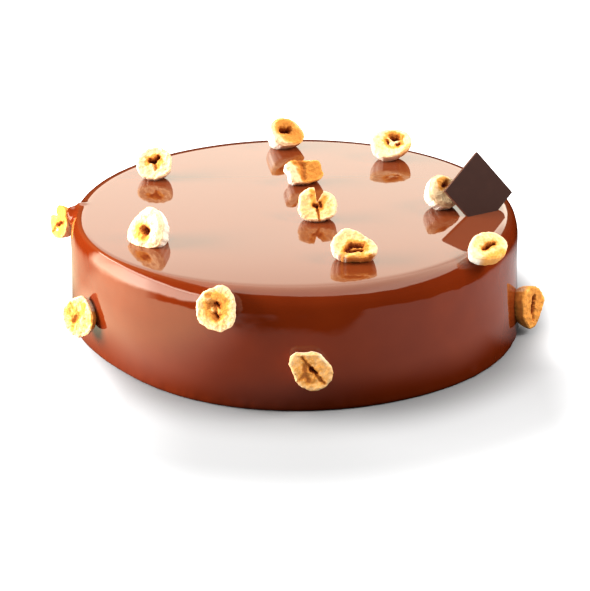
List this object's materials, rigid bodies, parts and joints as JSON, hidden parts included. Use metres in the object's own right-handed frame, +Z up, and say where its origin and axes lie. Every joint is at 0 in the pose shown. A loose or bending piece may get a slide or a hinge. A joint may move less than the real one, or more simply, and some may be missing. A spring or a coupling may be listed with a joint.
{
  "type": "glazed chocolate hazelnut cake",
  "caption": "Low round uncut cake under a smooth shiny milk chocolate glaze, with broken toasted hazelnut halves on its top, rim and wall and a small dark chocolate square standing on a corner.",
  "frame": {"origin": "centre of the flat underside, on the surface that the cake stands on", "axes": "+Z up; the pictured front faces -Y, with +X to the right of someone who looks at it; the chocolate plaque stands on the +X side"},
  "size_m": [0.2015, 0.1883, 0.0685],
  "materials": {
    "glaze": "mirror-smooth milk chocolate glaze",
    "hazelnut": "matt toasted nut flesh, cream to golden",
    "plaque": "satin dark chocolate"
  },
  "bodies": {
    "root": {"glazed_cake": "glaze", "hazelnut_back_left": "hazelnut", "hazelnut_left": "hazelnut", "hazelnut_back": "hazelnut", "hazelnut_chunk": "hazelnut", "hazelnut_split": "hazelnut", "hazelnut_back_right": "hazelnut", "hazelnut_front_right": "hazelnut", "hazelnut_by_plaque": "hazelnut", "hazelnut_right_rim": "hazelnut", "hazelnut_front_rim": "hazelnut", "hazelnut_left_side": "hazelnut", "hazelnut_front_side": "hazelnut", "hazelnut_right_side": "hazelnut", "hazelnut_left_rim": "hazelnut", "chocolate_plaque": "plaque"}
  },
  "joints": []
}
